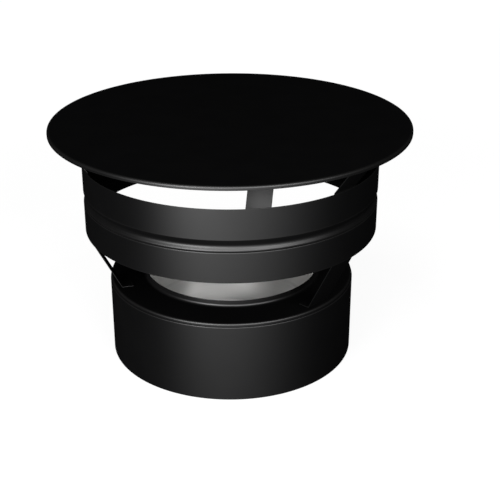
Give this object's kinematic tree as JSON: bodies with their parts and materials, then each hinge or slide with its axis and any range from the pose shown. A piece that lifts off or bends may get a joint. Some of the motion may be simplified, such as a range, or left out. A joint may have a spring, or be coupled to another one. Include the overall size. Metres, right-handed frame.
{
  "type": "flue rain cap",
  "caption": "Rain cap for a twin-wall flue: a flat disc held by bent straps over an open wind ring and an insulated base with a spigot and socket below.",
  "frame": {"origin": "centre of the casing's lower edge, where the flue's axis meets the plane that the cap stands on", "axes": "+Z along the flue's axis, towards the cover disc; -Y is the front in the picture, which lies between the left and right straps; +X is to the right"},
  "size_m": [0.306, 0.306, 0.2074],
  "materials": {
    "black_paint": "satin black",
    "bare_steel": "brushed",
    "retainer_steel": "mill",
    "mineral_wool": "fibrous"
  },
  "bodies": {
    "root": {"cover_disc": "black_paint", "wind_ring_upper_band": "black_paint", "wind_ring_lower_band": "black_paint", "strap_right": "black_paint", "strap_left": "black_paint", "strap_rear": "black_paint", "closing_plate": "black_paint", "outer_casing": "black_paint", "inner_liner": "bare_steel", "insulation_retainer": "retainer_steel", "insulation_sleeve": "mineral_wool"}
  },
  "joints": []
}
